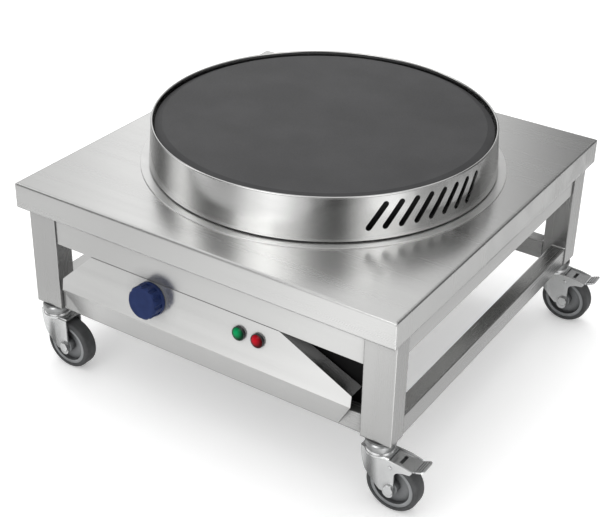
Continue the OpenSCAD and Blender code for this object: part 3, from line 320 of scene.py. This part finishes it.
def lensPlastic(f):
    material, tree, shader = startMaterial(f["name"], lensForm["fixed"])
    low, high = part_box(f["node"])
    # the painted highlight's centre, set off from the lens's middle
    paintedHighlightCentre = (low + high) / 2 + Vector(lensForm["paintedHighlightMm"]) / 1000
    coords = addNode(tree, "ShaderNodeTexCoord")
    out = addNode(tree, "ShaderNodeVectorMath", {"operation": "DISTANCE", 1: paintedHighlightCentre}, {0: coords.outputs["Object"]})
    highlightToRim = addNode(tree, "ShaderNodeMapRange", {
        "From Min": lensForm["paintedHighlightRadiusMm"] / 1000, "From Max": lensForm["rimMm"] / 1000}, {0: out.outputs["Value"]})
    tone = addNode(tree, "ShaderNodeMix", {
        "data_type": "RGBA", 6: hexToLinear(f["colour"]), 7: hexToLinear(f["deep"])}, {0: highlightToRim.outputs[0]})
    prisms = addNode(tree, "ShaderNodeTexVoronoi", {"Scale": 1000 / lensForm["prismMm"]},
                     {"Vector": coords.outputs["Object"]})
    smooth, worn = lensForm["roughness"]
    rough = addNode(tree, "ShaderNodeMapRange", {"To Min": smooth, "To Max": worn}, {0: prisms.outputs["Distance"]})
    bump = addNode(tree, "ShaderNodeBump", {
        "Strength": lensForm["prismShare"], "Distance": lensForm["prismDepthMm"] / 1000},
        {"Height": prisms.outputs["Distance"]})
    joinShader(tree, shader, {"Base Color": tone.outputs[2], "Roughness": rough.outputs[0],
                              "Normal": bump.outputs[0]})
    return material


# which way each steel piece was brushed, and from which stock it was made

brushing = {("X", "top"): ["table_top"],
            ("X", "flange"): ["base_flange"],
            ("X", "panel"): ["control_panel"],
            ("X", "folded"): ["channel_front", "channel_back", "control_box"],
            ("Y", "folded"): ["channel_left", "channel_right"],
            ("X", "tube"): ["rail_front", "rail_back"],
            ("Y", "tube"): ["rail_left", "rail_right"],
            ("Z", "tube"): ["leg_front_left", "leg_front_right", "leg_back_left", "leg_back_right"],
            ("round", "sheet"): ["saj_collar", "element_tray"]}
rolled = ("round", "sheet")

steels = {way: brushedStainless("brushedStainless" + way[1].capitalize() + way[0].capitalize(), *way)
          for way in brushing}
others = {slot: grainyFinish(f) for slot, f in finishes.items()}
others.update({slot: lensPlastic(f) for slot, f in lenses.items()})


def dressNodes():
    ways = {name: way for way, names in brushing.items() for name in names}
    for name, thing in nodes.items():
        slot = "bearing_steel" if name.startswith("caster_head") else thing.material_slots[0].name.split(".")[0]
        material = others.get(slot) or steels[ways.get(name, rolled)]
        for place in thing.material_slots:
            place.material = material


dressNodes()
print("materials on", len(nodes), "nodes")


# rounded arrises, as on folded sheet and drawn tube: width in mm, by the start of a node's name

arris = {"leg": 2.2, "rail": 2.0, "channel": 1.2, "base_flange": 0.4, "fork": 0.5, "brake_pedal": 0.4,
         "axle": 0.4, "control_box": 0.8, "blank_plate": 0.3}
arrisForm = {"joinMm": 0.02, "segments": 3, "fromDegrees": 40}


def roundArrises():
    for name, thing in nodes.items():
        width = next((w for start, w in arris.items() if name.startswith(start)), None)
        if width is None:
            continue
        weld = thing.modifiers.new("joined", "WELD")
        weld.merge_threshold = arrisForm["joinMm"] / 1000
        bevel = thing.modifiers.new("arris", "BEVEL")
        bevel.width = width / 1000
        bevel.segments = arrisForm["segments"]
        bevel.limit_method = "ANGLE"
        bevel.angle_limit = math.radians(arrisForm["fromDegrees"])
        bevel.use_clamp_overlap = True
        thing.modifiers.new("faces", "WEIGHTED_NORMAL").keep_sharp = True


roundArrises()
print("arrises rounded")


# weld beads where the lower rails meet the legs, left as laid: sizes in metres

bead = {"radius": 0.0028, "ripple": 0.0026, "rise": 0.16, "steps": 9, "fewestRings": 6, "ringsPerRipple": 4,
        "endSize": 0.35, "endSlope": 8}


def weldBead(name, start, end, inward):
    start, end, inward = Vector(start), Vector(end), Vector(inward)
    upward = Vector((0, 0, 1))
    run = (end - start).length
    rings = max(bead["fewestRings"], int(run / bead["ripple"] * bead["ringsPerRipple"]))
    bm = bmesh.new()
    rows = []
    for i in range(rings + 1):
        t = i / rings
        root = start.lerp(end, t)
        swell = 1 + bead["rise"] * abs(math.sin(math.pi * t * run / bead["ripple"]))
        taper = min(1.0, bead["endSlope"] * min(t, 1 - t) + bead["endSize"])
        r = bead["radius"] * swell * taper
        row = [bm.verts.new(root)]
        for k in range(bead["steps"]):
            turn = math.pi / 2 * k / (bead["steps"] - 1)
            row.append(bm.verts.new(root + r * (math.cos(turn) * inward + math.sin(turn) * upward)))
        rows.append(row)
    for a, b in zip(rows, rows[1:]):
        for k in range(len(a)):
            bm.faces.new((a[k], b[k], b[(k + 1) % len(b)], a[(k + 1) % len(a)]))
    bm.faces.new(rows[0])
    bm.faces.new(rows[-1])
    bmesh.ops.recalc_face_normals(bm, faces=bm.faces)
    for face in bm.faces:
        face.smooth = True
    newPiece(name, bm, steels[rolled], "frame")


def makeBeads():
    made = 0
    for side in ("front", "back", "left", "right"):
        low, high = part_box("rail_" + side)
        if side in ("front", "back"):
            ends = (((low.x, low.y, high.z), (low.x, high.y, high.z), (1, 0, 0)),
                    ((high.x, low.y, high.z), (high.x, high.y, high.z), (-1, 0, 0)))
        else:
            ends = (((low.x, low.y, high.z), (high.x, low.y, high.z), (0, 1, 0)),
                    ((low.x, high.y, high.z), (high.x, high.y, high.z), (0, -1, 0)))
        for letter, (start, end, inward) in zip("ab", ends):
            weldBead("weld_" + side + "_" + letter, start, end, inward)
            made += 1
    return made


print("weld beads:", makeBeads())


# painted shade: a thin strip of the black rubber finish laid along the joint between the channel and the panel's top
# fold, standing in for the shadow line there: sizes in metres

panelShadowLine = {"high": 0.0009, "proud": 0.0003, "deep": 0.0012, "fromLeft": 0.068, "fromRight": 0.150}


def makePanelShadowLine():
    low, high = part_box("control_panel")
    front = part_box("channel_front")[0].y
    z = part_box("channel_front")[0].z
    bm = bmesh.new()
    bmesh.ops.create_cube(bm, size=1.0)
    left, right = low.x + panelShadowLine["fromLeft"], high.x - panelShadowLine["fromRight"]
    size = Vector((right - left, panelShadowLine["deep"] + panelShadowLine["proud"], panelShadowLine["high"]))
    place = Vector(((left + right) / 2, front + (panelShadowLine["deep"] - panelShadowLine["proud"]) / 2, z))
    for v in bm.verts:
        v.co = Vector(v.co[i] * size[i] + place[i] for i in range(3))
    newPiece("panel_shadow_line", bm, others["black_gasket"], "frame")


makePanelShadowLine()
print("panel joint made")


# painted shade: thin strips of the black rubber finish laid in between the ribs of the brake pads, standing in for the
# shade in the grooves: sizes in mm, from the pad's inner edge out

grooveShade = {"tilt": 21, "count": 3, "first": 5.33, "step": 4.667, "wide": 1.8, "long": 27, "thick": 0.5,
        "padLong": 20, "ribTop": 8.0}


def makeGrooveShades():
    lean = Matrix.Rotation(-math.radians(grooveShade["tilt"]), 4, "Y")
    size = Matrix.Diagonal((grooveShade["wide"] / 1000, grooveShade["long"] / 1000, grooveShade["thick"] / 1000, 1))
    for side in ("fr", "br"):
        low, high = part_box("brake_pedal_" + side)
        bm = bmesh.new()
        for i in range(grooveShade["count"]):
            out = grooveShade["first"] + grooveShade["step"] * i
            up = out * math.tan(math.radians(grooveShade["tilt"])) - grooveShade["ribTop"]
            place = Vector((high.x + (out - grooveShade["padLong"]) / 1000, (low.y + high.y) / 2, high.z + up / 1000))
            bmesh.ops.create_cube(bm, size=1.0, matrix=Matrix.Translation(place) @ lean @ size)
        newPiece("pad_groove_shade_" + side, bm, others["black_gasket"], "pedal_" + side)


makeGrooveShades()
print("grip strips made")


# studio: white world and paper floor, one soft box overhead and one in front

studio = {"worldLight": 0.85, "floorLift": 0.26, "floorHalf": 14, "floorFibreMm": 5,
          "floorColour": "#F6F6F6", "floorOther": "#F9F9F9",
          "floorFixed": {"Roughness": 0.9, "Specular IOR Level": 0.1, "Emission Color": (1, 1, 1, 1)}}
softBoxes = {"softBoxTop": {"size": 2.4, "glow": 1.6, "place": (-0.4, 0.3, 2.6), "aim": (0, 0, 0.4),
                            "mirrored": False},
             "softBoxFront": {"size": 1.3, "glow": 1.5, "place": (-0.5, -2.9, 1.9), "aim": (0, 0, 0.35),
                              "mirrored": True}}


def makeWorld():
    world = bpy.data.worlds.new("studio")
    bpy.context.scene.world = world
    world.use_nodes = True
    tree = world.node_tree
    tree.nodes.clear()
    path = addNode(tree, "ShaderNodeLightPath")
    seen = addNode(tree, "ShaderNodeMath", {"operation": "MAXIMUM"}, {
        0: path.outputs["Is Camera Ray"], 1: path.outputs["Is Glossy Ray"]})
    seen = addNode(tree, "ShaderNodeMath", {"operation": "MAXIMUM"}, {
        0: seen.outputs[0], 1: path.outputs["Is Transmission Ray"]})
    strength = addNode(tree, "ShaderNodeMapRange", {"To Min": studio["worldLight"], "To Max": 1.0},
                       {0: seen.outputs[0]})
    glow = addNode(tree, "ShaderNodeBackground", {"Color": (1, 1, 1, 1)}, {"Strength": strength.outputs[0]})
    addNode(tree, "ShaderNodeOutputWorld", links={"Surface": glow.outputs[0]})


def makeFloor():  # pressed paper: even white with a faint fibre, lifted to white for the camera alone
    bm = bmesh.new()
    bmesh.ops.create_grid(bm, x_segments=1, y_segments=1, size=studio["floorHalf"])
    mesh = bpy.data.meshes.new("floor")
    bm.to_mesh(mesh)
    bm.free()
    floor = bpy.data.objects.new("floor", mesh)
    bpy.context.scene.collection.objects.link(floor)
    material, tree, shader = startMaterial("pressedPaper", studio["floorFixed"])
    coords = addNode(tree, "ShaderNodeTexCoord")
    fibre = addNode(tree, "ShaderNodeTexNoise", {"Scale": 1000 / studio["floorFibreMm"]},
                    {"Vector": coords.outputs["Object"]})
    tone = addNode(tree, "ShaderNodeMix", {
        "data_type": "RGBA", 6: hexToLinear(studio["floorColour"]), 7: hexToLinear(studio["floorOther"])},
        {0: fibre.outputs[0]})
    path = addNode(tree, "ShaderNodeLightPath")
    lift = addNode(tree, "ShaderNodeMath", {"operation": "MULTIPLY", 1: studio["floorLift"]},
                   {0: path.outputs["Is Camera Ray"]})
    joinShader(tree, shader, {"Base Color": tone.outputs[2], "Emission Strength": lift.outputs[0]})
    mesh.materials.append(material)


def softBox(name, b):
    data = bpy.data.lights.new(name, "AREA")
    data.shape = "SQUARE"
    data.size = b["size"]
    data.energy = b["glow"] * math.pi * b["size"] ** 2  # so that glow is how bright its face looks, white being 1
    thing = bpy.data.objects.new(name, data)
    bpy.context.scene.collection.objects.link(thing)
    thing.location = b["place"]
    thing.rotation_mode = "QUATERNION"
    thing.rotation_quaternion = (Vector(b["aim"]) - Vector(b["place"])).to_track_quat("-Z", "Y")
    thing.visible_camera = False
    thing.visible_glossy = b["mirrored"]


# painted reflections: glowing cards and dark flags that only the metal sees, in metres: a ring of card round the set,
# and cards on the floor.
# The ring's brightness goes by azimuth (0 is in front, 90 to the right, white is 1), with a limit at each level, lower
# down than up, so that the table top doesn't burn out when it is seen low from behind

ring = {"far": 4.2, "floorFrom": 1.36, "floorShare": 0.6, "floorHeight": 0.001,
        "levels": [(0.0, 1.0), (1.7, 1.0), (2.2, 3.1), (4.4, 3.1)],
        "tones": [(0, 2.85), (8, 2.75), (17, 1.6), (27, 0.42), (37, 0.1), (46, 0.08), (50, 0.55), (60, 2.4),
                  (72, 2.9), (80, 2.0), (88, 0.8), (95, 0.4), (115, 0.4), (135, 0.06), (155, 0.25), (168, 0.45),
                  (193, 0.2), (200, 0.78), (207, 1.22), (211, 0.98), (222, 1.0), (226, 1.65), (230, 1.05),
                  (249, 0.55), (266, 0.12), (277, 0.35), (283, 1.5), (295, 2.9), (306, 0.45), (320, 0.16),
                  (335, 0.6), (350, 2.15), (360, 2.85)]}
floorCards = {"height": 0.002,
              # before the panel, brightness from left to right
              "front": {"near": -0.52, "far": -1.35,
                        "tones": [(-1.2, 0.95), (-0.95, 0.95), (-0.75, 0.93), (-0.6, 0.87), (-0.5, 0.92),
                                  (-0.2, 1.12), (0.0, 1.32), (0.1, 1.3), (0.2, 1.05), (0.6, 1.0)]},
              # beside the table, by its front right corner and under it, brightness from front to back
              "right": {"near": 0.41, "far": 0.85, "tones": [(-0.4, 0.76), (1.2, 0.76), (1.5, 1.0)]},
              "corner": {"near": 0.44, "far": 1.1, "tones": [(-0.95, 2.2), (-0.44, 2.2)]},
              "under": {"near": -0.26, "far": 0.02, "tones": [(-0.28, 0.1), (0.06, 0.3), (0.16, 0.5)]},
              # a narrow dark flag at each caster, brightness across it
              "caster": {"start": (-0.012, -0.026), "along": (-0.79, -0.61), "long": 0.14,
                         "tones": [(-0.034, 0.8), (-0.012, 0.15), (0.012, 0.15), (0.034, 0.8)]}}


def glowCard(name, columns):  # columns of (one end, other end, brightness at each)
    mesh = bpy.data.meshes.new(name)
    points = [p for one, two, tones in columns for p in (one, two)]
    faces = [(2 * i, 2 * i + 2, 2 * i + 3, 2 * i + 1) for i in range(len(columns) - 1)]
    mesh.from_pydata(points, [], faces)
    glow = mesh.attributes.new("glow", "FLOAT", "POINT")
    for i, (one, two, tones) in enumerate(columns):
        glow.data[2 * i].value, glow.data[2 * i + 1].value = tones
    # the card's glow, a painted reflection
    material = bpy.data.materials.new(name + "Paper")
    material.use_nodes = True
    tree = material.node_tree
    tree.nodes.clear()
    tone = addNode(tree, "ShaderNodeAttribute", {"attribute_name": "glow"})
    light = addNode(tree, "ShaderNodeEmission", links={"Strength": tone.outputs["Fac"]})
    addNode(tree, "ShaderNodeOutputMaterial", links={"Surface": light.outputs[0]})
    mesh.materials.append(material)
    card = bpy.data.objects.new(name, mesh)
    bpy.context.scene.collection.objects.link(card)
    card.visible_camera = card.visible_shadow = card.visible_diffuse = False


def makeCards():
    spots = []
    for degrees, tone in ring["tones"]:
        a = math.radians(degrees)
        spots.append((ring["far"] * math.sin(a), -ring["far"] * math.cos(a), tone))
    for (low, dim), (high, most) in zip(ring["levels"], ring["levels"][1:]):
        glowCard("cardRing", [((x, y, low), (x, y, high), (min(tone, dim), min(tone, most)))
                              for x, y, tone in spots])
    inner, z = ring["floorFrom"] / ring["far"], ring["floorHeight"]
    glowCard("cardFloorRing", [((inner * x, inner * y, z), (x, y, z), (ring["floorShare"] * tone,) * 2)
                               for x, y, tone in spots])
    z, front = floorCards["height"], floorCards["front"]
    glowCard("cardFloorFront", [((x, front["near"], z), (x, front["far"], z), (tone, tone))
                                for x, tone in front["tones"]])
    flag = floorCards["caster"]
    along = Vector((*flag["along"], 0))
    across = Vector((-along.y, along.x, 0))
    for name in nodes:
        if name.startswith("caster_head"):
            low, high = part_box(name)
            start = Vector(((low.x + high.x) / 2, (low.y + high.y) / 2, z)) + Vector((*flag["start"], 0))
            glowCard("cardFloor" + name, [
                (start + w * across, start + w * across + flag["long"] * along, (tone, tone))
                for w, tone in flag["tones"]])
    for place in ("right", "corner", "under"):
        card = floorCards[place]
        glowCard("cardFloor" + place.capitalize(), [
            ((card["near"], y, z), (card["far"], y, z), (tone, tone)) for y, tone in card["tones"]])


bpy.context.scene.view_settings.view_transform = "Standard"
makeWorld()
makeFloor()
for boxName, box in softBoxes.items():
    softBox(boxName, box)
makeCards()
print("studio lit")
